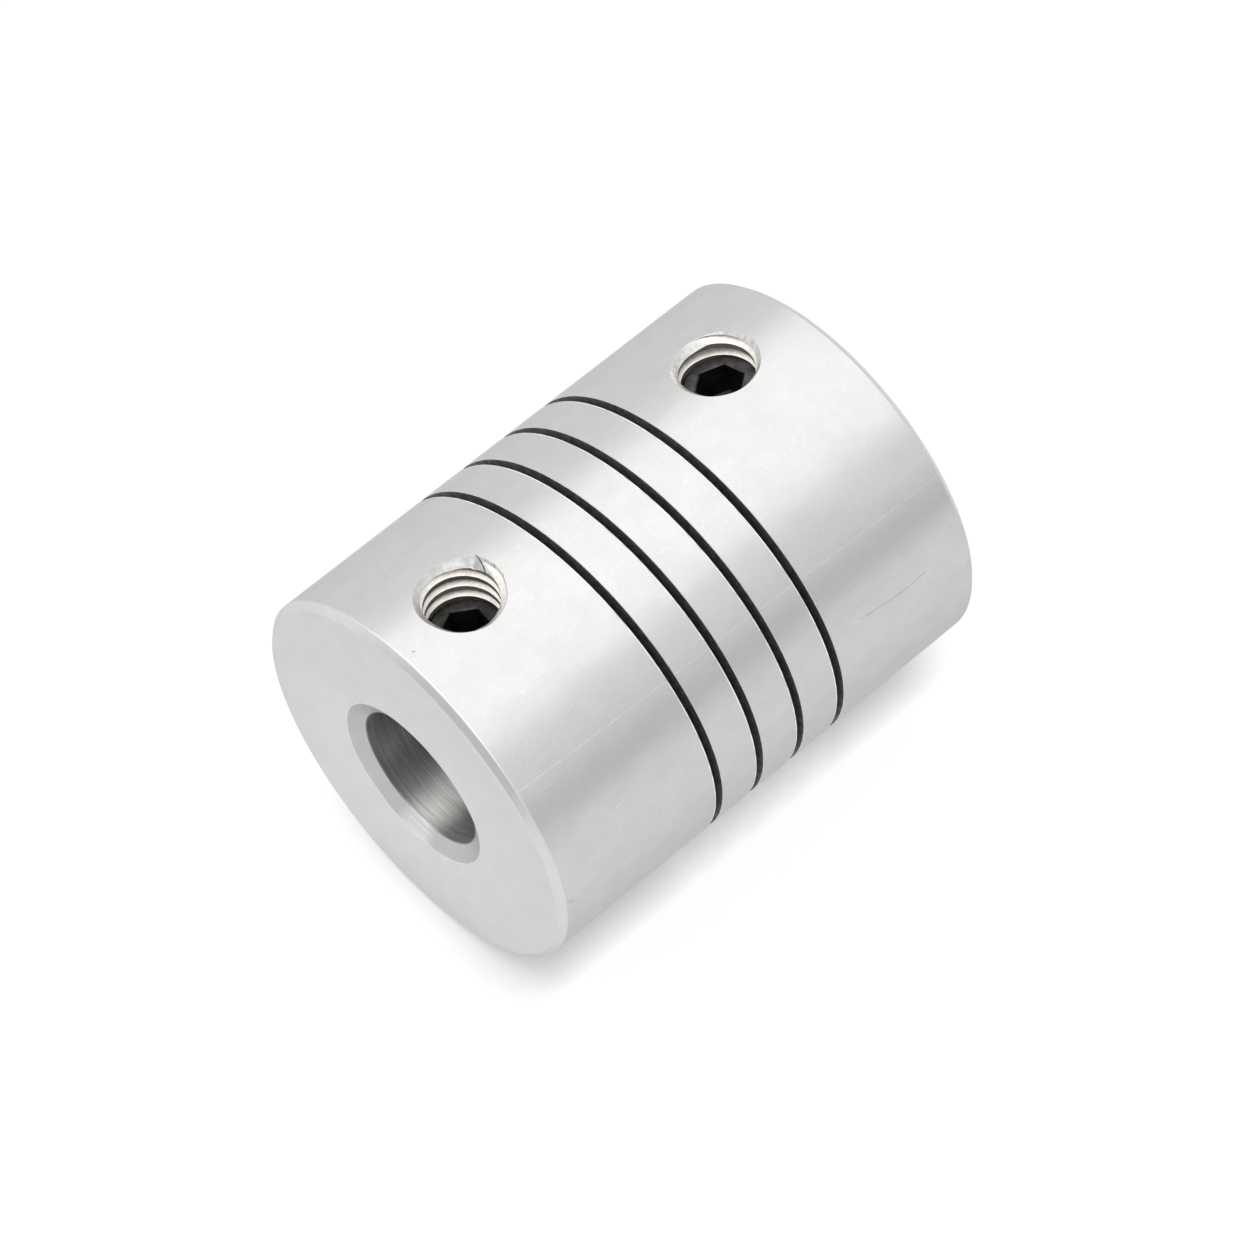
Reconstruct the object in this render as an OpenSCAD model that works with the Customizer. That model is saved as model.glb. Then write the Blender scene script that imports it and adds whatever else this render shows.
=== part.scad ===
// Helical-beam shaft coupling, cut from one bar, with two set screws in each hub.
// It stands on its lower end face: Z is the shaft axis, and Z = 0 is that face.
// The slit leaves one flexible helical beam between the two rigid hubs.

/* [Body] */
// Outside diameter of the coupling
body_d = 19; // [16:0.5:25]
// Length from end face to end face
body_l = 25; // [23:0.5:32]
// Size of the 45 degree break on both outer edges
edge_chamfer = 0.3; // [0.1:0.05:0.6]

/* [Bores] */
// Shaft bore in the upper hub
upper_bore_d = 7; // [5:0.1:8]
// Shaft bore in the lower hub
lower_bore_d = 7; // [5:0.1:8]
// Radial width of the lead-in chamfer at each bore mouth
bore_chamfer_w = 0.8; // [0.3:0.1:1.2]
// Depth of that chamfer along the axis
bore_chamfer_depth = 0.45; // [0.2:0.05:0.8]
// How much deeper than the larger bore the middle is turned out, behind the beam
relief_step = 0.5; // [0.2:0.1:0.8]
// How far that relief runs past the slit at each end
relief_overrun = 0.6; // [0.2:0.1:0.9]

/* [Helical slit] */
// Turns of the slit between the hubs
slit_turns = 4; // [2:0.25:4.25]
// Rise of the slit for each turn
slit_pitch = 2.44; // [1.8:0.02:2.6]
// Width of the slit along the axis
slit_w = 0.4; // [0.2:0.05:0.6]
// Direction from the axis in which the slit starts and ends
slit_start_angle = 13; // [0:1:359]

/* [Set screws] */
// Thread diameter of the set screws
screw_d = 4; // [3:0.5:5]
// Length of a set screw from cup to socket face
screw_l = 3; // [3:0.5:5]
// Radial play between a screw and its hole
screw_play = 0.05; // [0.03:0.01:0.1]
// Hexagon socket size across flats
socket_af = 2; // [1.5:0.1:2.5]
// Depth of the socket's flats
socket_depth = 1.6; // [1:0.1:2]
// 45 degree chamfer round the socket face
screw_chamfer = 0.4; // [0.1:0.05:0.5]
// Rim diameter of the cup point
cup_d = 2; // [1.5:0.1:2.5]
// Full angle of the hollow in the cup point
cup_angle = 120; // [90:1:130]
// Direction of the upper hub's first screw, half the spread to one side of -Y
upper_screw_angle = -135; // [-180:1:180]
// How far round the lower hub's screws stand from the upper ones
lower_screw_turn = 8.5; // [-30:0.5:30]
// Angle between the two screws of a hub
screw_spread = 90; // [70:1:120]
// Distance of the upper screws from the upper end face
upper_screw_from_end = 4.2; // [3.6:0.1:4.6]
// Distance of the lower screws from the lower end face
lower_screw_from_end = 4.6; // [3.6:0.1:4.8]
// How far the upper screws are backed off from the bore
upper_screw_back_off = 0.6; // [0:0.1:2]
// How far the lower screws are backed off from the bore
lower_screw_back_off = 1.8; // [0:0.1:2]

/* [Hidden] */

$fn = 96;
// Flat steps of the slit in one turn, and in each of its round ends
slit_steps_per_turn = 40;
slit_end_steps = 4;
// First direction sampled on a round slit end, so that its tip keeps a small flat
slit_tip_angle = 15;
// How far a cutter runs past the surface that it cuts
overcut = 1;

body_r = body_d / 2;
upper_bore_r = upper_bore_d / 2;
lower_bore_r = lower_bore_d / 2;
relief_r = max(upper_bore_r, lower_bore_r) + relief_step;
slit_rise = slit_turns * slit_pitch;
slit_bottom = (body_l - slit_rise) / 2;
relief_bottom = slit_bottom - slit_w / 2 - relief_overrun;
relief_top = body_l - relief_bottom;
screw_r = screw_d / 2;
cup_r = cup_d / 2;
aluminium = [0.80, 0.81, 0.82];
black_oxide = [0.13, 0.13, 0.14];

// The bar as it leaves the lathe: outside, end chamfers, both bores and the relief
module turned_blank() {
    rotate_extrude()
        polygon([
            [lower_bore_r + bore_chamfer_w, 0],
            [body_r - edge_chamfer, 0],
            [body_r, edge_chamfer],
            [body_r, body_l - edge_chamfer],
            [body_r - edge_chamfer, body_l],
            [upper_bore_r + bore_chamfer_w, body_l],
            [upper_bore_r, body_l - bore_chamfer_depth],
            [upper_bore_r, relief_top],
            [relief_r, relief_top],
            [relief_r, relief_bottom],
            [lower_bore_r, relief_bottom],
            [lower_bore_r, bore_chamfer_depth],
        ]);
}

// The slit is a ribbon that climbs round the axis. Each station across it is given
// by its angle from the start and its half width, which shrinks at the round ends.
slit_sweep = slit_turns * 360;
slit_end_angle = (slit_w / 2) / body_r * 180 / PI;
slit_steps = ceil(slit_turns * slit_steps_per_turn);
slit_round = [
    for (i = [0 : slit_end_steps])
        slit_tip_angle + (90 - slit_tip_angle) * i / slit_end_steps
];
slit_stations = concat(
    [for (a = slit_round) [slit_end_angle * (1 - cos(a)), slit_w / 2 * sin(a)]],
    [
        for (i = [1 : slit_steps - 1])
            [slit_sweep * i / slit_steps, slit_w / 2]
    ],
    [
        for (i = [slit_end_steps : -1 : 0])
            let (a = slit_round[i])
                [slit_sweep - slit_end_angle * (1 - cos(a)), slit_w / 2 * sin(a)]
    ]
);

// One point of the ribbon at a radius, an angle from the start and a height off its middle
function slit_point(r, angle, off) = [
    r * cos(slit_start_angle + angle),
    r * sin(slit_start_angle + angle),
    slit_bottom + slit_rise * angle / slit_sweep + off,
];

module helical_slit() {
    inner = relief_r - overcut;
    outer = body_r + overcut;
    last = 4 * (len(slit_stations) - 1);
    polyhedron(
        points = [
            for (s = slit_stations)
                each [
                    slit_point(inner, s[0], -s[1]),
                    slit_point(outer, s[0], -s[1]),
                    slit_point(outer, s[0], s[1]),
                    slit_point(inner, s[0], s[1]),
                ]
        ],
        faces = concat(
            [[3, 2, 1, 0], [last, last + 1, last + 2, last + 3]],
            [
                for (i = [0 : 4 : last - 4], j = [0 : 3])
                    let (a = i + j, b = i + (j + 1) % 4)
                        each [[a, b, b + 4], [a, b + 4, a + 4]]
            ]
        ),
        convexity = 10
    );
}

// Carries its children, made along +Z from the axis, to a height and a direction
module radially(z, angle) {
    translate([0, 0, z])
        rotate([0, 0, angle])
            rotate([0, 90, 0])
                children();
}

module upper_screw_place(i) {
    radially(body_l - upper_screw_from_end, upper_screw_angle + i * screw_spread)
        children();
}

module lower_screw_place(i) {
    radially(lower_screw_from_end, upper_screw_angle + lower_screw_turn + i * screw_spread)
        children();
}

module screw_hole() {
    cylinder(h = body_r + overcut, r = screw_r + screw_play);
}

module coupling_body() {
    color(aluminium)
        difference() {
            turned_blank();
            helical_slit();
            for (i = [0, 1]) {
                upper_screw_place(i)
                    screw_hole();
                lower_screw_place(i)
                    screw_hole();
            }
        }
}

// Hexagon-socket set screw with a cup point, its cup rim at Z = 0
module set_screw() {
    color(black_oxide)
        difference() {
            rotate_extrude()
                polygon([
                    [0, cup_r / tan(cup_angle / 2)],
                    [cup_r, 0],
                    [screw_r, screw_r - cup_r],
                    [screw_r, screw_l - screw_chamfer],
                    [screw_r - screw_chamfer, screw_l],
                    [0, screw_l],
                ]);
            translate([0, 0, screw_l - socket_depth])
                cylinder(h = socket_depth + overcut, d = socket_af / cos(30), $fn = 6);
        }
}

module upper_set_screw(i) {
    upper_screw_place(i)
        translate([0, 0, upper_bore_r + upper_screw_back_off])
            set_screw();
}

module lower_set_screw(i) {
    lower_screw_place(i)
        translate([0, 0, lower_bore_r + lower_screw_back_off])
            set_screw();
}

coupling_body();
upper_set_screw(0);  // upper_set_screw_1
upper_set_screw(1);  // upper_set_screw_2
lower_set_screw(0);  // lower_set_screw_1
lower_set_screw(1);  // lower_set_screw_2
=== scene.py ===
"""Looks of a helical-beam shaft coupling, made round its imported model.

The frame is the model's own: metres, the shaft axis along Z, the lower end face at Z = 0.
Sizes below are in millimetres and angles in degrees unless a name says otherwise.
Angles round the axis are counted from +X towards +Y.
"""
import math

import bmesh
import bpy
import numpy as np
from mathutils import Matrix, Vector


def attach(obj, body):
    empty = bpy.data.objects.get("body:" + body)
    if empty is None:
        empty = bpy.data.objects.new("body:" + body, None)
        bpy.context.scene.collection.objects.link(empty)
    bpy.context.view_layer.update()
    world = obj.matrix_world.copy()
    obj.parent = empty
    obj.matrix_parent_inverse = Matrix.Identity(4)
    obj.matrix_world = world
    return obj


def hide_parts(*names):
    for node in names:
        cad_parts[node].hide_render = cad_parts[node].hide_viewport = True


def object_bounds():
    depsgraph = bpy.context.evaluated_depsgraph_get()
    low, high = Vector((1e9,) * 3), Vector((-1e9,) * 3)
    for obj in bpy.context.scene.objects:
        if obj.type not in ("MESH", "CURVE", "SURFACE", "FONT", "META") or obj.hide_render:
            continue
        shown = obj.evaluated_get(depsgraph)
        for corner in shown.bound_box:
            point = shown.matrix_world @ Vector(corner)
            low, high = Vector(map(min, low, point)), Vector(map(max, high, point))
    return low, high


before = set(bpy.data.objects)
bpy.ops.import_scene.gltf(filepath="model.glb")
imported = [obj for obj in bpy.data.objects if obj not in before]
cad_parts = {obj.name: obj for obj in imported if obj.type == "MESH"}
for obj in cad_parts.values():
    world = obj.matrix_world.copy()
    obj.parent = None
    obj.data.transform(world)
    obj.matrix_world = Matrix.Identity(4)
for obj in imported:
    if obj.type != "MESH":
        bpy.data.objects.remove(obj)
cad_low, cad_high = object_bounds()

MM = 0.001

# The turned bar: the outside comes from the frame, the rest are the source's own sizes
BODY_R = (cad_high.x - cad_low.x) / 2 / MM
BODY_L = (cad_high.z - cad_low.z) / MM
EDGE_CHAMFER = 0.3
BORE_R = 3.5
BORE_CHAMFER_W = 0.8
BORE_CHAMFER_DEPTH = 0.45
RELIEF_R = 4.0
RELIEF_OVERRUN = 0.6
# How far each of its edges is eased, and the steps of an eased edge and of a whole turn
EDGE_EASE = 0.05
EASE_STEPS = 4
SEGMENTS = 288
# Its middle, and the direction of the shaft
MIDDLE = Vector((0, 0, BODY_L / 2))
AXIS = Vector((0, 0, 1))

# Helical slit
SLIT_TURNS = 4
SLIT_PITCH = 2.44
SLIT_W = 0.4
SLIT_START = 13
# Its broken lower edge, the wider lip above, and how far its cutter flares outside
SLIT_BREAK = 0.02
SLIT_LIP_W = 0.06
SLIT_LIP_DEPTH = 0.02
SLIT_FLARE = 0.1
# Its steps, and the first direction sampled on a round end, whose tip keeps a small flat
SLIT_STEPS_PER_TURN = 160
SLIT_END_STEPS = 8
SLIT_TIP_ANGLE = 10

# Tapped holes, with the metric thread's usual proportions
THREAD_R = 2.0
THREAD_PITCH = 0.7
THREAD_FLANK = math.tan(math.radians(30))
THREAD_AROUND = 96
TAP_CREST_R = 1.7
# The rim of their countersinks, and how much it wavers
MOUTH_R = 2.02
MOUTH_WAVE = 0.012

# Set screws, with the play between their crests and the roots of their holes
SCREW_L = 3.0
SCREW_PLAY = 0.04
SCREW_ROOT_R = 1.57
SCREW_CHAMFER = 0.4
CUP_R = 1.0
CUP_ANGLE = 120
SOCKET_AF = 2.0
SOCKET_DEPTH = 1.6
SOCKET_EDGE = 0.06
SOCKET_FLOOR_DROP = 0.3
SCREWS = {
    # node: (angle round the axis, height, back-off from the bore, turn of the socket,
    # shift of the thread along the screw)
    "upper_set_screw_1": (-135.0, BODY_L - 4.2, 0.6, 54, 0.45),
    "upper_set_screw_2": (-45.0, BODY_L - 4.2, 0.6, 25, 0.1),
    "lower_set_screw_1": (-126.5, 4.6, 1.8, 8, 0.21),
    "lower_set_screw_2": (-36.5, 4.6, 1.8, 40, 0.3),
}
# The torn countersink of one hole: where its rim is wider, and the tears across it
TORN_HOLE = "upper_set_screw_1"
TORN_RIM = (-58, 65, 0.1)
TEARS = [
    # angles round the hole and radii of both ends, width, depth
    (-59, -80, 2.20, 1.70, 0.09, 0.10),
    (-84, -92, 2.16, 1.92, 0.05, 0.05),
    (-103, -113, 2.16, 1.86, 0.06, 0.06),
]
TEAR_STEPS = 9

# How far the cutters run past what they cut
INNER_OVERCUT = 1.0
COUNTERSINK_OVERCUT = 0.3
TAP_OVERCUT = 0.05
TEAR_OVERCUT = 0.03
# Points closer than this are one point
MERGE = 0.00001
# Edges shorter than this are left over from the cuts, and are closed up
SPECK = 0.002
# Corners this close to the outside count as lying on it
OUTSIDE_PLAY = 0.001
# Edges that bend by more than these angles stay sharp
BODY_SHARP_ANGLE = 30
SCREW_SHARP_ANGLE = 35

# The photograph's view, fitted to the outline, the bore, the slit and the holes
CAMERA_ANGLE = -167.3
CAMERA_RISE = 21.4
CAMERA_ROLL = -128.48
CAMERA_DISTANCE = 255.0
CAMERA_LENS = 166.1
AIM_ACROSS = -0.44
AIM_UP = 0.16


def direction(angle, rise=0.0):
    """Unit vector at an angle round the axis and a rise above the XY plane."""
    a = math.radians(angle)
    e = math.radians(rise)
    return Vector((math.cos(a) * math.cos(e), math.sin(a) * math.cos(e), math.sin(e)))


def placed(right, up, back, place):
    """Matrix of something that stands at a place, with its right, up and back directions."""
    return Matrix([*zip(right, up, back, place * MM), (0, 0, 0, 1)])


def add_camera():
    """Puts the camera where the photograph was taken from, and returns its right direction."""
    across = direction(CAMERA_ANGLE + 90)
    place = MIDDLE + CAMERA_DISTANCE * direction(CAMERA_ANGLE, CAMERA_RISE)
    aim = MIDDLE + AIM_ACROSS * across + AIM_UP * AXIS
    back = (place - aim).normalized()
    level_right = AXIS.cross(back).normalized()
    level_up = back.cross(level_right)
    roll = math.radians(CAMERA_ROLL)
    right = math.cos(roll) * level_right + math.sin(roll) * level_up
    up = math.cos(roll) * level_up - math.sin(roll) * level_right
    data = bpy.data.cameras.new("camera")
    data.lens = CAMERA_LENS
    data.clip_start = 0.01
    data.clip_end = 10
    camera = bpy.data.objects.new("camera", data)
    camera.matrix_world = placed(right, up, back, place)
    bpy.context.scene.collection.objects.link(camera)
    bpy.context.scene.camera = camera
    return right


# Shader helpers


def add_node(tree, kind, inputs=None, **settings):
    """Adds a shader node, sets its settings, and gives its inputs values or links."""
    made = tree.nodes.new(kind)
    for name, value in settings.items():
        setattr(made, name, value)
    for name, value in (inputs or {}).items():
        if isinstance(value, bpy.types.NodeSocket):
            tree.links.new(value, made.inputs[name])
        else:
            made.inputs[name].default_value = value
    return made


def calc(tree, operation, *values):
    """One Math node, returned as its output."""
    inputs = dict(enumerate(values))
    return add_node(tree, "ShaderNodeMath", inputs, operation=operation).outputs[0]


def remap(tree, value, from_min, from_max, to_min, to_max):
    """Map Range with its ends clamped."""
    inputs = {
        "Value": value,
        "From Min": from_min,
        "From Max": from_max,
        "To Min": to_min,
        "To Max": to_max,
    }
    return add_node(tree, "ShaderNodeMapRange", inputs).outputs["Result"]


def blend(tree, share, first, second):
    """Mixes two colours, each three numbers or another node's output."""
    inputs = {"Factor": share, "A": first, "B": second}
    made = add_node(tree, "ShaderNodeMix", data_type="RGBA")
    for name, value in inputs.items():
        socket = [s for s in made.inputs if s.name == name and s.enabled][0]
        if isinstance(value, bpy.types.NodeSocket):
            tree.links.new(value, socket)
        else:
            socket.default_value = (*value, 1)
    return [s for s in made.outputs if s.enabled][0]


def shades(tree, pattern, low, high, first, second):
    """Goes from one colour to another as a pattern rises from a low value to a high one."""
    return blend(tree, remap(tree, pattern, low, high, 0, 1), first, second)


def position(tree):
    """Object coordinates in millimetres."""
    coords = add_node(tree, "ShaderNodeTexCoord").outputs["Object"]
    inputs = {0: coords, "Scale": 1 / MM}
    return add_node(tree, "ShaderNodeVectorMath", inputs, operation="SCALE").outputs[0]


def split(tree, vector):
    """The x, y and z of a vector."""
    parts = add_node(tree, "ShaderNodeSeparateXYZ", {0: vector}).outputs
    return parts[0], parts[1], parts[2]


def angle_round(tree, x, y):
    """The angle round the axis, in degrees."""
    return calc(tree, "DEGREES", calc(tree, "ARCTAN2", y, x))


def noise(tree, vector, scale, detail, stretch=(1, 1, 1)):
    """Noise of a scale in features per millimetre, with the position stretched first."""
    stretched = add_node(tree, "ShaderNodeMapping", {"Vector": vector, "Scale": stretch})
    inputs = {"Vector": stretched.outputs[0], "Scale": scale, "Detail": detail}
    return add_node(tree, "ShaderNodeTexNoise", inputs).outputs["Fac"]


def line_noise(tree, value, scale, detail):
    """Noise along one value, in features per unit."""
    inputs = {"W": value, "Scale": scale, "Detail": detail}
    return add_node(tree, "ShaderNodeTexNoise", inputs, noise_dimensions="1D").outputs["Fac"]


def metal(name, colour, roughness, edge_tint=0.75):
    """A metal's material; returns it, its tree and its shader.

    The colour and the roughness hold where no pattern is fed to them. The edge tint dulls the
    metal where it is seen at a grazing angle.
    """
    made = bpy.data.materials.new(name)
    made.use_nodes = True
    shader = made.node_tree.nodes["Principled BSDF"]
    shader.inputs["Metallic"].default_value = 1.0
    shader.inputs["Base Color"].default_value = (*colour, 1)
    shader.inputs["Roughness"].default_value = roughness
    shader.inputs["Specular Tint"].default_value = (edge_tint, edge_tint, edge_tint, 1)
    return made, made.node_tree, shader


def feed(tree, shader, **values):
    """Links node outputs to the shader's inputs, named with underscores for spaces."""
    for name, value in values.items():
        tree.links.new(value, shader.inputs[name.replace("_", " ")])


def bump(tree, height, depth):
    """A bump whose height of 0 to 1 stands for a depth in millimetres."""
    inputs = {"Height": height, "Distance": depth * MM}
    return add_node(tree, "ShaderNodeBump", inputs).outputs[0]


# Materials

# Marks on the outside, each from one angle and height to another, with a width
LIGHT_MARKS = [
    (174.3, 24.7, 173.1, 18.9, 0.045),
    (173.1, 18.9, 172.2, 12.3, 0.03),
    (172.2, 12.3, 170.6, 4.4, 0.035),
    (170.6, 4.4, 170.0, 0.3, 0.03),
    (176.0, 16.2, 175.9, 15.7, 0.03),
    (176.0, 14.65, 175.8, 13.66, 0.03),
    (170.8, 24.05, 170.5, 23.1, 0.03),
    (152.7, 21.0, 152.5, 20.6, 0.04),
    (150.1, 7.0, 149.4, 6.3, 0.03),
]
DARK_MARKS = [
    (149.8, 6.7, 147.9, 4.0, 0.04),
    (147.9, 4.0, 148.4, 2.8, 0.035),
    (135.9, 24.95, 133.7, 24.2, 0.035),
    (-140.0, 24.25, -140.2, 24.15, 0.09),
]
# How much both bore chamfers are dulled
CHAMFER_DULLING = 0.3
# Where the upper one carries a painted highlight, and how far round from there that starts and ends
# to fade
HIGHLIGHT_ANGLE = 36
HIGHLIGHT_FADE = (7, 17)


def marks(tree, angle, height, lines):
    """A share of 0 or 1 that is 1 on straight marks drawn on the outside."""
    total = 0.0
    for angle_0, height_0, angle_1, height_1, width in lines:
        share = remap(tree, height, height_0, height_1, 0, 1)
        middle = calc(tree, "MULTIPLY_ADD", share, angle_1 - angle_0, angle_0)
        half_width = math.degrees(width / 2 / BODY_R)
        across = calc(tree, "COMPARE", angle, middle, half_width)
        half_length = abs(height_1 - height_0) / 2
        along = calc(tree, "COMPARE", height, (height_0 + height_1) / 2, half_length)
        total = calc(tree, "MULTIPLY_ADD", across, along, total)
    return calc(tree, "MINIMUM", total, 1.0)


def satin_bar():
    """The drawn outside of the bar: a satin grain, soft clouds, streaks along Z and a few marks."""
    made, tree, shader = metal("satin_bar", (0.6, 0.6, 0.6), 0.33)
    place = position(tree)
    x, y, z = split(tree, place)
    grain = noise(tree, place, 7.0, 3.0)
    streaks = noise(tree, place, 3.0, 3.0, (1, 1, 0.06))
    clouds = noise(tree, place, 0.9, 4.0, (1, 1, 0.8))
    tone = calc(tree, "MULTIPLY_ADD", streaks, 0.2, calc(tree, "MULTIPLY", clouds, 0.8))
    base = shades(tree, tone, 0.36, 0.64, (0.582, 0.590, 0.583), (0.618, 0.620, 0.609))
    speckle = remap(tree, noise(tree, place, 9.0, 2.0), 0.3, 0.7, 0.97, 1.03)
    base = add_node(tree, "ShaderNodeVectorMath", {0: base, "Scale": speckle}, operation="SCALE")
    nicks = remap(tree, noise(tree, place, 4.5, 1.0, (1, 1, 0.35)), 0.75, 0.78, 0, 0.35)
    base = blend(tree, nicks, base.outputs[0], (0.75, 0.75, 0.74))
    angle = angle_round(tree, x, y)
    worn = remap(tree, line_noise(tree, z, 2.2, 2.0), 0.35, 0.6, 0.25, 0.8)
    light = calc(tree, "MULTIPLY", marks(tree, angle, z, LIGHT_MARKS), worn)
    base = blend(tree, light, base, (0.80, 0.80, 0.79))
    dark = calc(tree, "MULTIPLY", marks(tree, angle, z, DARK_MARKS), worn)
    base = blend(tree, dark, base, (0.22, 0.22, 0.22))
    rough = remap(tree, tone, 0.35, 0.65, 0.345, 0.325)
    feed(tree, shader, Base_Color=base, Roughness=rough, Normal=bump(tree, grain, 0.0025))
    return made


def turned_face():
    """End faces and chamfers: matt, with fine rings left by the turning tool.

    The chamfers at the bores' mouths are duller, but for a painted highlight at one place on the
    upper one, and their outer rims carry a thin painted highlight.
    """
    made, tree, shader = metal("turned_face", (0.62, 0.62, 0.61), 0.38)
    place = position(tree)
    x, y, z = split(tree, place)
    radius = calc(tree, "SQRT", calc(tree, "MULTIPLY_ADD", x, x, calc(tree, "MULTIPLY", y, y)))
    rings = line_noise(tree, radius, 9.0, 3.0)
    clouds = noise(tree, place, 0.8, 4.0)
    tone = calc(tree, "MULTIPLY_ADD", rings, 0.3, calc(tree, "MULTIPLY", clouds, 0.7))
    base = shades(tree, tone, 0.38, 0.62, (0.680, 0.686, 0.680), (0.720, 0.721, 0.712))
    # Painted highlight: near one angle on the upper chamfer, bright rings are spared the darkening
    aside = calc(tree, "SUBTRACT", angle_round(tree, x, y), HIGHLIGHT_ANGLE)
    highlight_patch = remap(tree, calc(tree, "ABSOLUTE", aside), *HIGHLIGHT_FADE, 1, 0)
    highlight_patch = calc(tree, "MULTIPLY", highlight_patch, calc(tree, "GREATER_THAN", z, BODY_L / 2))
    highlight_rings = calc(tree, "MULTIPLY", highlight_patch, remap(tree, rings, 0.35, 0.55, 0.6, 1))
    chamfer = calc(tree, "LESS_THAN", radius, BORE_R + BORE_CHAMFER_W)
    dull = calc(tree, "MULTIPLY", chamfer, calc(tree, "SUBTRACT", 1.0, highlight_rings))
    base = blend(tree, calc(tree, "MULTIPLY", dull, CHAMFER_DULLING), base, (0, 0, 0))
    # Painted highlight: the chamfers' outer rims are lightened towards white in broken stretches
    rim = calc(tree, "COMPARE", radius, BORE_R + BORE_CHAMFER_W, 0.03)
    wear_and_highlight = remap(tree, noise(tree, place, 0.7, 2.0), 0.35, 0.65, 0, 0.6)
    base = blend(tree, calc(tree, "MULTIPLY", rim, wear_and_highlight), base, (0.95, 0.95, 0.94))
    feed(tree, shader, Base_Color=base, Normal=bump(tree, rings, 0.0015))
    return made


def bored_wall():
    """The bore: fine rings that scatter light along the axis, worn in patches.

    The shader's highlight is drawn out across its tangent, so a quarter turn lays it along Z.
    """
    made, tree, shader = metal("bored_wall", (0.3, 0.3, 0.3), 0.55, 1.0)
    place = position(tree)
    _, _, z = split(tree, place)
    wander = noise(tree, place, 0.4, 2.0)
    track = calc(tree, "MULTIPLY_ADD", wander, 0.12, z)
    rings = line_noise(tree, track, 9.0, 4.0)
    broken = noise(tree, place, 0.6, 4.0, (1, 1, 16))
    tone = calc(tree, "MULTIPLY_ADD", rings, 0.5, calc(tree, "MULTIPLY", broken, 0.5))
    base = shades(tree, tone, 0.36, 0.64, (0.2, 0.213, 0.2), (0.345, 0.345, 0.335))
    shader.inputs["Anisotropic"].default_value = 0.9
    shader.inputs["Anisotropic Rotation"].default_value = 0.25
    tangent = add_node(tree, "ShaderNodeTangent", direction_type="RADIAL", axis="Z").outputs[0]
    feed(tree, shader, Base_Color=base, Normal=bump(tree, rings, 0.003), Tangent=tangent)
    return made


def slit_wall():
    """The dull, patchy wall that the slitting saw leaves, darkened as painted shade in the slit."""
    made, tree, shader = metal("slit_wall", (0.5, 0.5, 0.5), 0.6, 1.0)
    place = position(tree)
    patches = noise(tree, place, 3.0, 3.0)
    # Painted shade: the wall's colour stays well below the outside's, which darkens the slit
    base = shades(tree, patches, 0.35, 0.65, (0.22, 0.22, 0.215), (0.38, 0.38, 0.37))
    feed(tree, shader, Base_Color=base)
    return made


def sawn_lip():
    """The edge the saw breaks along one side of the slit: fresh metal, brightened as a painted
    highlight.
    """
    made, tree, shader = metal("sawn_lip", (0.93, 0.93, 0.92), 0.35, 1.0)
    place = position(tree)
    broken = noise(tree, place, 1.5, 3.0)
    # Painted highlight: the lip's colour runs up to near white
    base = shades(tree, broken, 0.35, 0.55, (0.62, 0.62, 0.61), (0.96, 0.96, 0.95))
    feed(tree, shader, Base_Color=base)
    return made


def cut_thread():
    """The tapped threads: bright, freshly cut metal, with a slight warm tint that is a painted
    reflection.
    """
    made, tree, shader = metal("cut_thread", (0.85, 0.82, 0.77), 0.4, 1.0)
    place = position(tree)
    wear_and_highlight = noise(tree, place, 5.0, 4.0)
    # Painted reflection: the warm tint of both colours stands in for warm surroundings
    base = shades(tree, wear_and_highlight, 0.35, 0.65, (0.74, 0.71, 0.66), (0.88, 0.85, 0.80))
    feed(tree, shader, Base_Color=base, Normal=bump(tree, wear_and_highlight, 0.006))
    return made


def broken_edge():
    """Countersinks and the slit's broken edge: duller than the threads, with small nicks."""
    made, tree, shader = metal("broken_edge", (0.64, 0.64, 0.63), 0.42, 1.0)
    place = position(tree)
    nicks = noise(tree, place, 4.0, 4.0)
    base = shades(tree, nicks, 0.35, 0.65, (0.55, 0.55, 0.54), (0.72, 0.72, 0.71))
    feed(tree, shader, Base_Color=base, Normal=bump(tree, nicks, 0.006))
    return made


def black_oxide():
    """Blackened steel of the set screws."""
    made, tree, shader = metal("black_oxide", (0.07, 0.07, 0.068), 0.4, 1.0)
    place = position(tree)
    patches = noise(tree, place, 2.5, 4.0)
    base = shades(tree, patches, 0.35, 0.65, (0.05, 0.05, 0.05), (0.10, 0.10, 0.098))
    feed(tree, shader, Base_Color=base, Normal=bump(tree, patches, 0.004))
    return made


# Surfaces: each is a grid of rings, worked out as whole arrays

# The body's finishes, in the order of its materials
SATIN, TURNED, BORED, SLIT, LIP, THREAD, BROKEN = range(7)


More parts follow.
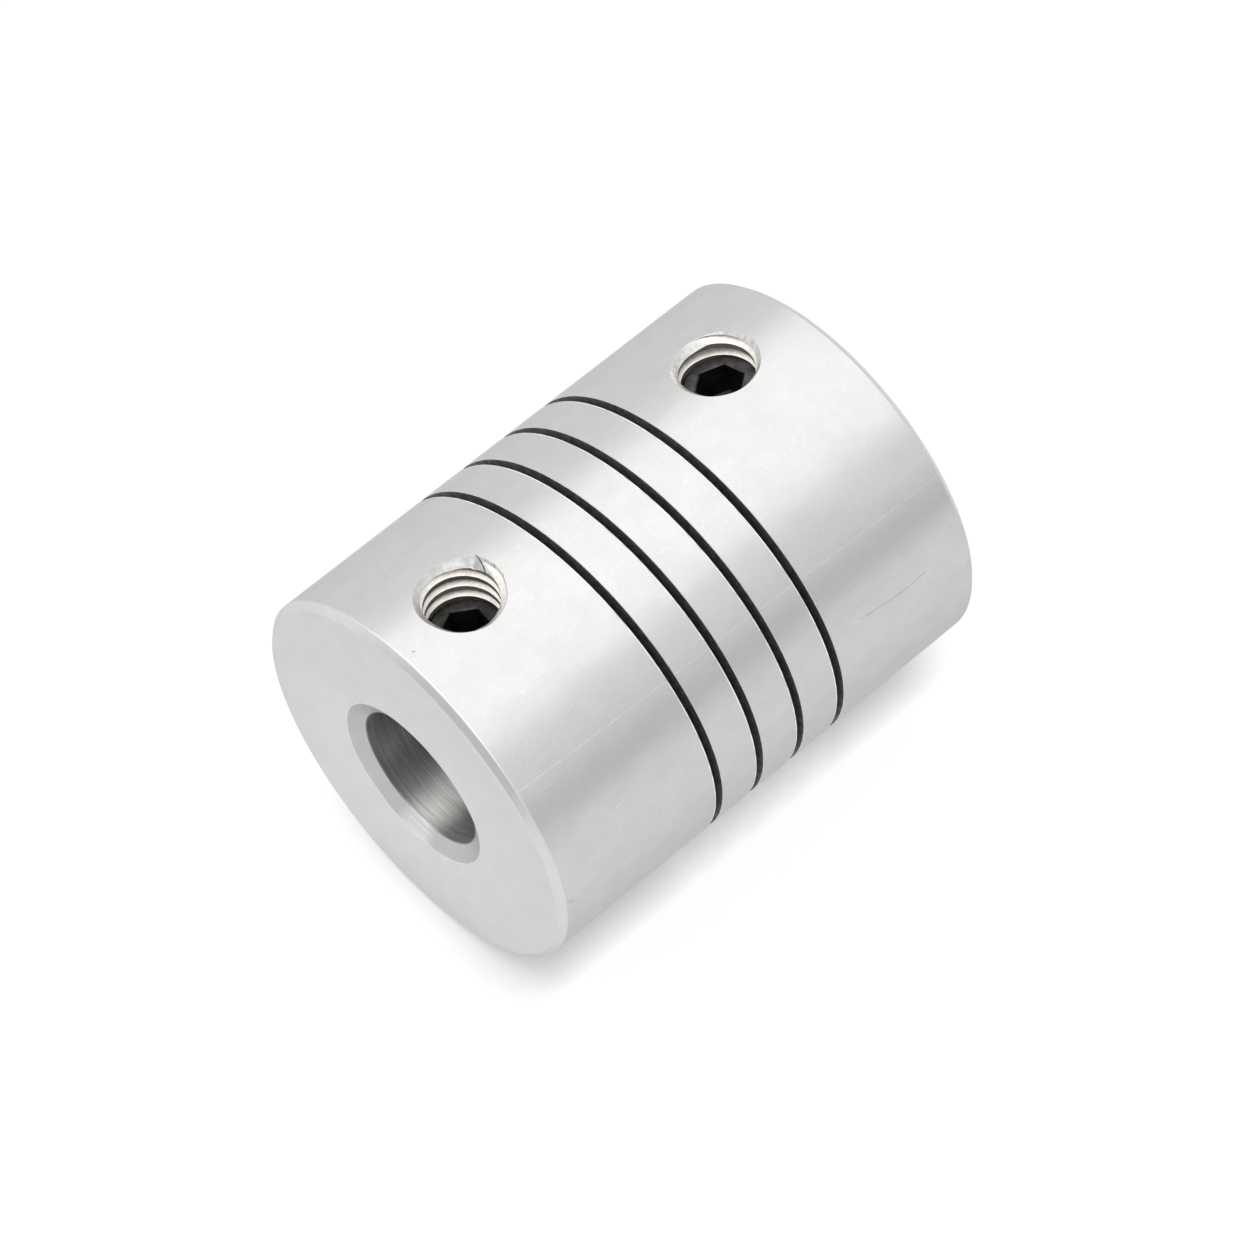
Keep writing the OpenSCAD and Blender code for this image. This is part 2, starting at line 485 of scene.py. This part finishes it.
def closed_mesh(name, points, closed=False, triangles=False, finish=0):
    """A closed mesh from a grid of rings, of shape (rings, around, 3) in millimetres.

    Quads join each ring to the next. The last ring joins the first, or both get a cap.
    The finish is a material index for all quads, or an array that fits the grid of quads.
    """
    rings, around, _ = points.shape
    row = np.arange(rings if closed else rings - 1)[:, None]
    col = np.arange(around)[None, :]
    above = (row + 1) % rings
    beside = (col + 1) % around
    faces = np.stack(
        [
            row * around + col,
            row * around + beside,
            above * around + beside,
            above * around + col,
        ],
        axis=-1,
    )
    faces = faces.reshape(-1, 4).tolist()
    finishes = (finish + np.zeros((len(row), around), int)).ravel().tolist()
    if not closed:
        faces += [list(range(around)), list(range((rings - 1) * around, rings * around))]
        finishes += finishes[-2:]
    mesh = bpy.data.meshes.new(name)
    mesh.from_pydata((points.reshape(-1, 3) * MM).tolist(), [], faces)
    mesh.polygons.foreach_set("material_index", finishes)
    grid = bmesh.new()
    grid.from_mesh(mesh)
    bmesh.ops.remove_doubles(grid, verts=grid.verts, dist=MERGE * MM)
    if triangles:
        bmesh.ops.triangulate(grid, faces=grid.faces)
    bmesh.ops.recalc_face_normals(grid, faces=grid.faces)
    grid.to_mesh(mesh)
    grid.free()
    return mesh


def add_piece(name, mesh):
    """Links a mesh as an object at the origin."""
    piece = bpy.data.objects.new(name, mesh)
    bpy.context.scene.collection.objects.link(piece)
    return piece


def give(mesh, materials):
    """Gives a mesh its materials, in the order of their indices."""
    for material in materials:
        mesh.materials.append(material)


def cut(piece, mesh):
    """Cuts a closed mesh out of a piece with an exact Boolean, and keeps the result as its mesh."""
    cutter = add_piece(mesh.name, mesh)
    modifier = piece.modifiers.new("cut", "BOOLEAN")
    modifier.operation = "DIFFERENCE"
    modifier.solver = "EXACT"
    modifier.material_mode = "TRANSFER"
    modifier.object = cutter
    graph = bpy.context.evaluated_depsgraph_get()
    result = bpy.data.meshes.new_from_object(piece.evaluated_get(graph))
    piece.modifiers.clear()
    piece.data = result
    bpy.data.objects.remove(cutter)


def smooth(mesh, sharp_angle):
    """Closes up leftover specks, and smooths all but the edges that bend by more than an angle."""
    grid = bmesh.new()
    grid.from_mesh(mesh)
    bmesh.ops.dissolve_degenerate(grid, dist=SPECK * MM, edges=grid.edges)
    grid.to_mesh(mesh)
    grid.free()
    mesh.polygons.foreach_set("use_smooth", [True] * len(mesh.polygons))
    mesh.set_sharp_from_angle(angle=math.radians(sharp_angle))


def ease_corners(outline):
    """Rounds each corner of a closed outline with a curve pulled towards the corner."""
    before = np.roll(outline, 1, axis=0) - outline
    after = np.roll(outline, -1, axis=0) - outline
    before = before / np.linalg.norm(before, axis=1)[:, None] * EDGE_EASE
    after = after / np.linalg.norm(after, axis=1)[:, None] * EDGE_EASE
    t = np.linspace(0, 1, EASE_STEPS + 1)[None, :, None]
    curve = outline[:, None] + (1 - t) ** 2 * before[:, None] + t**2 * after[:, None]
    return curve.reshape(-1, 2)


def blank_mesh():
    """The turned bar: its half section, with eased corners, spun round Z."""
    slit_rise = SLIT_TURNS * SLIT_PITCH
    relief_low = (BODY_L - slit_rise - SLIT_W) / 2 - RELIEF_OVERRUN
    relief_high = BODY_L - relief_low
    mouth_r = BORE_R + BORE_CHAMFER_W
    # each corner of the section, and the finish of the side that starts there
    section = [
        (mouth_r, 0, TURNED),
        (BODY_R - EDGE_CHAMFER, 0, TURNED),
        (BODY_R, EDGE_CHAMFER, SATIN),
        (BODY_R, BODY_L - EDGE_CHAMFER, TURNED),
        (BODY_R - EDGE_CHAMFER, BODY_L, TURNED),
        (mouth_r, BODY_L, TURNED),
        (BORE_R, BODY_L - BORE_CHAMFER_DEPTH, BORED),
        (BORE_R, relief_high, BORED),
        (RELIEF_R, relief_high, BORED),
        (RELIEF_R, relief_low, BORED),
        (BORE_R, relief_low, BORED),
        (BORE_R, BORE_CHAMFER_DEPTH, TURNED),
    ]
    section = np.array(section)
    outline = ease_corners(section[:, :2])
    finish = np.repeat(section[:, 2], EASE_STEPS + 1).astype(int)[:, None]
    angle = np.linspace(0, 2 * np.pi, SEGMENTS, endpoint=False)[None, :]
    radius = outline[:, :1]
    height = outline[:, 1:] + 0 * angle
    points = np.stack([radius * np.cos(angle), radius * np.sin(angle), height], axis=-1)
    return closed_mesh("blank", points, closed=True, finish=finish)


def slit_mesh():
    """The slit's cutter: a ribbon with round ends that climbs round Z.

    Height rises by the pitch for each turn. Outside, the ribbon flares at 45 degrees below,
    and at a lower slope above, where it leaves the bright lip.
    """
    end = np.radians(np.linspace(SLIT_TIP_ANGLE, 90, SLIT_END_STEPS))
    middle = np.linspace(0, 1, SLIT_TURNS * SLIT_STEPS_PER_TURN + 1)[1:-1]
    # each station: its share of the way round, its lean along the slit and how open it is
    share = np.concatenate([0 * end, middle, 0 * end + 1])[:, None]
    lean = np.concatenate([-np.cos(end), 0 * middle, np.cos(end[::-1])])[:, None]
    opening = np.concatenate([np.sin(end), 0 * middle + 1, np.sin(end[::-1])])[:, None]
    # the cross section's corners: radius, and distance below or above the middle
    half = SLIT_W / 2
    inside = RELIEF_R - INNER_OVERCUT
    lip_flare = (SLIT_FLARE + SLIT_LIP_DEPTH) * SLIT_LIP_W / SLIT_LIP_DEPTH
    corners = np.array(
        [
            (inside, -half),
            (BODY_R - SLIT_BREAK, -half),
            (BODY_R + SLIT_FLARE, -half - SLIT_BREAK - SLIT_FLARE),
            (BODY_R + SLIT_FLARE, half + lip_flare),
            (BODY_R - SLIT_LIP_DEPTH, half),
            (inside, half),
        ]
    )
    radius, offset = corners.T[:, None, :]
    sweep = 2 * np.pi * SLIT_TURNS
    end_angle = SLIT_W / 2 / BODY_R
    angle = end_angle + share * (sweep - 2 * end_angle) + np.abs(offset) * lean / BODY_R
    height = BODY_L / 2 + SLIT_PITCH * (angle / (2 * np.pi) - SLIT_TURNS / 2)
    height = height + offset * opening
    turn = angle + math.radians(SLIT_START)
    points = np.stack([radius * np.cos(turn), radius * np.sin(turn), height], axis=-1)
    finish = np.array([SLIT, BROKEN, SLIT, LIP, SLIT, SLIT])[None, :]
    return closed_mesh("slit", points, triangles=True, finish=finish)


def radial_points(angle, height, depth, radius, around):
    """Points round an axis that leaves Z at an angle and a height.

    Depth is the distance from Z along that axis, radius the distance from it, and around
    the angle round it, in radians.
    """
    depth, radius, around = np.broadcast_arrays(depth, radius, around)
    out = np.array(direction(angle))
    aside = np.array(direction(angle + 90))
    up = np.array([0.0, 0.0, 1.0])
    off = np.cos(around)[..., None] * aside + np.sin(around)[..., None] * up
    return depth[..., None] * out + radius[..., None] * off + height * up


def around_steps(turned=0.0):
    """The angles of one ring round a hole or screw, in radians."""
    return np.linspace(0, 2 * np.pi, THREAD_AROUND, endpoint=False)[None, :] + math.radians(turned)


def mouth_radius(name, around):
    """Rim radius of a hole's countersink: uneven in two waves, and torn deeper in one hole.

    The waves run three and eight times round the hole, and each hole's name shifts them.
    """
    shift = sum(map(ord, name))
    wave = np.sin(3 * around + shift) + 0.6 * np.sin(8 * around + 2 * shift)
    radius = MOUTH_R + MOUTH_WAVE * wave
    if name == TORN_HOLE:
        start, sweep, depth = TORN_RIM
        share = np.mod(start - np.degrees(around), 360) / sweep
        radius = radius + depth * np.clip(1 - share, 0, 1)
    return radius


def drill_mesh(name, angle, height):
    """A hole's drill and its 45 degree countersink, which starts from the round outside."""
    around = around_steps()
    mouth = mouth_radius(name, around)
    surface = np.sqrt(BODY_R**2 - (mouth * np.cos(around)) ** 2)
    inside = BORE_R - INNER_OVERCUT
    outside = BODY_R + COUNTERSINK_OVERCUT
    flat = 0 * around
    below = surface - mouth + TAP_CREST_R
    depth = np.concatenate([inside + flat, below, outside + flat])
    radius = np.concatenate([TAP_CREST_R + flat, TAP_CREST_R + flat, mouth + outside - surface])
    points = radial_points(angle, height, depth, radius, around)
    return closed_mesh(name + "_drill", points, finish=np.array([[THREAD], [BROKEN]]))


def tear_mesh(angle, height, tear):
    """A tear across the torn countersink: a V groove along a line from one end to the other.

    It follows the countersink's cone, which starts at the uneven rim on the round outside and
    whose depth falls as fast as its radius.
    """
    around_0, around_1, radius_0, radius_1, width, deep = tear
    share = np.linspace(0, 1, TEAR_STEPS)[:, None]
    radius = radius_0 + (radius_1 - radius_0) * share
    around = np.radians(around_0 + (around_1 - around_0) * share)
    mouth = mouth_radius(TORN_HOLE, around)
    cone = np.sqrt(BODY_R**2 - (mouth * np.cos(around)) ** 2) - mouth + radius
    # the section's corners: place across the tear, and height over the cone
    section = [(-1, TEAR_OVERCUT), (0, -deep), (1, TEAR_OVERCUT)]
    across, above = np.array(section).T[:, None, :]
    turned = around + across * width / 2 / radius
    points = radial_points(angle, height, cone + above, radius + 0 * across, turned)
    # The groove takes the slit wall's darkened colour, painted shade along the tear
    return closed_mesh("tear", points, triangles=True, finish=SLIT)


def groove_mesh(name, angle, height, start, turns, section, finish):
    """A thread's cutter: a V section carried round a radial axis, one pitch out for each turn."""
    turn = np.linspace(0, turns, turns * THREAD_AROUND + 1)[:, None]
    radius, offset = np.array(section).T[:, None, :]
    depth = start + THREAD_PITCH * turn + offset
    points = radial_points(angle, height, depth, radius, 2 * np.pi * turn)
    return closed_mesh(name, points, triangles=True, finish=finish)


def tap_mesh(name, angle, height, shift):
    """The tap of a hole: 60 degree grooves with a root an eighth of the pitch wide.

    It starts two pitches inside the bore, and runs out past the outside.
    """
    root = THREAD_PITCH / 16
    inner_r = TAP_CREST_R - TAP_OVERCUT
    inner = root + (THREAD_R - inner_r) * THREAD_FLANK
    section = [(inner_r, -inner), (THREAD_R, -root), (THREAD_R, root), (inner_r, inner)]
    start = BORE_R - 2 * THREAD_PITCH + shift
    turns = math.ceil((BODY_R - start) / THREAD_PITCH)
    return groove_mesh(name + "_tap", angle, height, start, turns, section, THREAD)


def die_mesh(name, angle, height, shift):
    """The die of a screw: the grooves between its crests, which are an eighth of the pitch wide.

    It runs half a pitch from the hole's tap, so that the crests lie in the hole's grooves.
    """
    outer_r = THREAD_R
    crest_r = THREAD_R - SCREW_PLAY
    crest_gap = THREAD_PITCH * 7 / 16
    outer = crest_gap + (outer_r - crest_r) * THREAD_FLANK
    root = crest_gap - (crest_r - SCREW_ROOT_R) * THREAD_FLANK
    section = [(outer_r, -outer), (outer_r, outer), (SCREW_ROOT_R, root), (SCREW_ROOT_R, -root)]
    start = BORE_R - 1.5 * THREAD_PITCH + shift
    turns = math.ceil((BODY_R - start) / THREAD_PITCH)
    return groove_mesh(name + "_die", angle, height, start, turns, section, 0)


def screw_blank_mesh(name, angle, height, back_off, socket_turn):
    """A set screw before its thread: cup, point, side, chamfer and hexagon socket in one loft."""
    around = around_steps(socket_turn)
    side_r = THREAD_R - SCREW_PLAY
    cup_depth = CUP_R / math.tan(math.radians(CUP_ANGLE / 2))
    sector = math.radians(60)
    to_flat = np.mod(around - around[0, 0], sector) - sector / 2
    hexagon = SOCKET_AF / 2 / np.cos(to_flat)
    top = SCREW_L
    floor = top - SOCKET_DEPTH
    # each ring: height along the screw, and radius
    rings = [
        (cup_depth, 0 * around),
        (0, CUP_R),
        (side_r - CUP_R, side_r),
        (top - SCREW_CHAMFER, side_r),
        (top, side_r - SCREW_CHAMFER),
        (top, hexagon + SOCKET_EDGE),
        (top - SOCKET_EDGE, hexagon),
        (floor, hexagon),
        (floor - SOCKET_FLOOR_DROP, 0 * around),
    ]
    depth = np.array([[BORE_R + back_off + level] for level, _ in rings])
    radius = np.concatenate([radius + 0 * around for _, radius in rings])
    return closed_mesh(name, radial_points(angle, height, depth, radius, around))


def read(items, name, kind, width=1):
    """One property of all of a mesh's parts, as an array of that many columns."""
    values = np.zeros(len(items) * width, kind)
    items.foreach_get(name, values)
    return values.reshape(-1, width)


def turn_normals(mesh):
    """Gives the lathe-turned faces the normals of true surfaces of revolution.

    Each corner gets its face's normal, turned round Z by the angle between the face's middle
    and that corner, and the round outside gets the direction away from Z. Faces of the slit
    and the threads keep their own normals.
    """
    faces = mesh.polygons
    # the face, its finish, its normal and its middle for each corner, and the corner's place
    face = np.repeat(np.arange(len(faces)), read(faces, "loop_total", np.int32)[:, 0])
    finish = read(faces, "material_index", np.int32)[face]
    normal = read(faces, "normal", np.float32, 3)[face]
    middle = read(faces, "center", np.float32, 3)[face]
    vertex = read(mesh.loops, "vertex_index", np.int32)[:, 0]
    corner = read(mesh.vertices, "co", np.float32, 3)[vertex]
    own = read(mesh.corner_normals, "vector", np.float32, 3)
    turn = np.arctan2(corner[:, 1], corner[:, 0]) - np.arctan2(middle[:, 1], middle[:, 0])
    x = normal[:, 0] * np.cos(turn) - normal[:, 1] * np.sin(turn)
    y = normal[:, 0] * np.sin(turn) + normal[:, 1] * np.cos(turn)
    turned = np.isin(finish, [SATIN, TURNED, BORED])
    normals = np.where(turned, np.stack([x, y, normal[:, 2]], axis=1), own)
    outward = corner * [1, 1, 0]
    radius = np.linalg.norm(outward, axis=1)[:, None]
    outside = (radius > (BODY_R - OUTSIDE_PLAY) * MM) & (finish == SATIN)
    normals = np.where(outside, outward / radius, normals)
    mesh.normals_split_custom_set(normals.tolist())


def make_body(materials):
    """The one-piece body: the turned bar, less the helical slit and the four tapped holes."""
    piece = add_piece("coupling_body_dressed", blank_mesh())
    give(piece.data, materials)
    tools = [slit_mesh()]
    for name, (angle, height, _, _, shift) in SCREWS.items():
        tools += [drill_mesh(name, angle, height), tap_mesh(name, angle, height, shift)]
        if name == TORN_HOLE:
            tools += [tear_mesh(angle, height, tear) for tear in TEARS]
    for tool in tools:
        give(tool, materials)
        cut(piece, tool)
    smooth(piece.data, BODY_SHARP_ANGLE)
    turn_normals(piece.data)
    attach(piece, "root")
    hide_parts("coupling_body")


def make_screws(material):
    """The four set screws, each in its own thread."""
    for name, (angle, height, back_off, socket_turn, shift) in SCREWS.items():
        blank = screw_blank_mesh(name + "_dressed", angle, height, back_off, socket_turn)
        die = die_mesh(name, angle, height, shift)
        give(blank, [material])
        give(die, [material])
        piece = add_piece(name + "_dressed", blank)
        cut(piece, die)
        smooth(piece.data, SCREW_SHARP_ANGLE)
        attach(piece, "root")
        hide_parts(name)


# The studio: a white room, a large lamp, a small one that reaches into the bore, and grey cards

# The floor: its reach from the coupling's middle, and its colour under the lamps
FLOOR_REACH = 250.0
FLOOR_COLOUR = 0.15
# What the camera and reflections see on top of that colour
FLOOR_GLOW = 0.88
# The contact shade: how far it reaches, and how far it leans aside and along the axis
CONTACT_REACH = 3.0
SHADE_ASIDE = 0.8
SHADE_ALONG = 0.65
# The place on the upper bore's wall at which its lamp points
BORE_LIT_ANGLE = CAMERA_ANGLE + 203
BORE_LIT_DEPTH = 1.0
BORE_WALL = BORE_R * direction(BORE_LIT_ANGLE) + (BODY_L - BORE_LIT_DEPTH) * AXIS
LAMPS = {
    # name: (what it looks at, angle, rise, distance, width, height, brightness, beam angle)
    "soft_lamp": (MIDDLE, CAMERA_ANGLE + 32, 10, 300.0, 600.0, 700.0, 0.6, 180),
    "bore_lamp": (BORE_WALL, CAMERA_ANGLE + 51, 35, 10.0, 13.0, 5.0, 2.0, 70),
}
CARDS = {
    # name: (angle, rise, distance, width, height, colour)
    "side_card": (CAMERA_ANGLE - 55, -21, 250.0, 70.0, 300.0, 0.95),
    "end_card": (CAMERA_ANGLE, 88, 250.0, 400.0, 400.0, 0.72),
}


def sheet_mesh(name, centre, across, up):
    """A flat four-cornered mesh, from its middle and the ways to its right and upper edges."""
    signs = ((-1, -1), (1, -1), (1, 1), (-1, 1))
    corners = [(centre + a * across + b * up) * MM for a, b in signs]
    mesh = bpy.data.meshes.new(name)
    mesh.from_pydata(corners, [], [(0, 1, 2, 3)])
    mesh.update()
    return mesh


def add_floor(camera_right):
    """The pale surface that the photographed coupling lies on.

    The coupling stands on its end here, so that surface stands too: it holds the axis'
    direction and the picture's horizontal, touches the outside, and shows on its near side only.
    Its glow is dimmed close to the coupling, most on the side away from the large lamp, which
    keeps the contact shadow.
    """
    up = AXIS.cross(camera_right).normalized()
    if up.dot(direction(CAMERA_ANGLE)) < 0:
        up = -up
    aside = AXIS.cross(up)
    mesh = sheet_mesh("floor", MIDDLE - BODY_R * up, FLOOR_REACH * aside, FLOOR_REACH * AXIS)
    made = bpy.data.materials.new("pale_floor")
    made.use_nodes = True
    tree = made.node_tree
    tree.nodes.clear()
    grey = (FLOOR_COLOUR, FLOOR_COLOUR, FLOOR_COLOUR, 1)
    pale = add_node(tree, "ShaderNodeBsdfDiffuse", {"Color": grey}).outputs[0]
    path = add_node(tree, "ShaderNodeLightPath").outputs
    seen = calc(tree, "ADD", path["Is Camera Ray"], path["Is Glossy Ray"])
    seen = calc(tree, "ADD", seen, path["Is Transmission Ray"])
    lean = (up + SHADE_ASIDE * aside + SHADE_ALONG * AXIS).normalized()
    towards = add_node(tree, "ShaderNodeCombineXYZ", dict(enumerate(lean))).outputs[0]
    inputs = {"Distance": CONTACT_REACH * MM, "Normal": towards}
    openness = add_node(tree, "ShaderNodeAmbientOcclusion", inputs, samples=8).outputs["AO"]
    glow = calc(tree, "MULTIPLY", seen, calc(tree, "MULTIPLY", openness, FLOOR_GLOW))
    white = add_node(tree, "ShaderNodeEmission", {"Strength": glow}).outputs[0]
    front = add_node(tree, "ShaderNodeAddShader", {0: pale, 1: white}).outputs[0]
    clear = add_node(tree, "ShaderNodeBsdfTransparent").outputs[0]
    behind = add_node(tree, "ShaderNodeNewGeometry").outputs["Backfacing"]
    both = add_node(tree, "ShaderNodeMixShader", {0: behind, 1: front, 2: clear}).outputs[0]
    add_node(tree, "ShaderNodeOutputMaterial", {"Surface": both})
    give(mesh, [made])
    floor = add_piece("floor", mesh)


def facing(target, angle, rise, distance):
    """Matrix of something that looks at a target, its height along the axis."""
    away = direction(angle, rise)
    side = AXIS.cross(away).normalized()
    return placed(side, away.cross(side), away, target + distance * away)


def add_card(name, matrix, width, height, grey):
    """A matt grey card that the metal reflects and the camera doesn't see."""
    across = Vector((width / 2, 0, 0))
    up = Vector((0, height / 2, 0))
    mesh = sheet_mesh(name, Vector(), across, up)
    made = bpy.data.materials.new(name)
    made.use_nodes = True
    shader = made.node_tree.nodes["Principled BSDF"]
    shader.inputs["Base Color"].default_value = (grey, grey, grey, 1)
    shader.inputs["Roughness"].default_value = 1.0
    give(mesh, [made])
    card = add_piece(name, mesh)
    card.matrix_world = matrix
    card.visible_camera = False


def add_studio():
    """White surroundings, the lamps, and the grey cards that the metal reflects."""
    world = bpy.data.worlds.new("white_room")
    world.use_nodes = True
    background = world.node_tree.nodes["Background"]
    background.inputs["Color"].default_value = (1, 1, 1, 1)
    background.inputs["Strength"].default_value = 1.0
    bpy.context.scene.world = world
    for name, (target, angle, rise, distance, width, height, brightness, beam) in LAMPS.items():
        data = bpy.data.lights.new(name, "AREA")
        data.shape = "RECTANGLE"
        data.size = width * MM
        data.size_y = height * MM
        data.energy = brightness * math.pi * data.size * data.size_y
        data.spread = math.radians(beam)
        lamp = bpy.data.objects.new(name, data)
        lamp.matrix_world = facing(target, angle, rise, distance)
        lamp.visible_camera = False
        bpy.context.scene.collection.objects.link(lamp)
    for name, (angle, rise, distance, width, height, grey) in CARDS.items():
        add_card(name, facing(MIDDLE, angle, rise, distance), width, height, grey)


camera_right = add_camera()
add_studio()
add_floor(camera_right)
finishes = [
    satin_bar(),
    turned_face(),
    bored_wall(),
    slit_wall(),
    sawn_lip(),
    cut_thread(),
    broken_edge(),
]
make_body(finishes)
make_screws(black_oxide())

bpy.context.scene.view_settings.view_transform = "Standard"
bpy.context.view_layer.update()
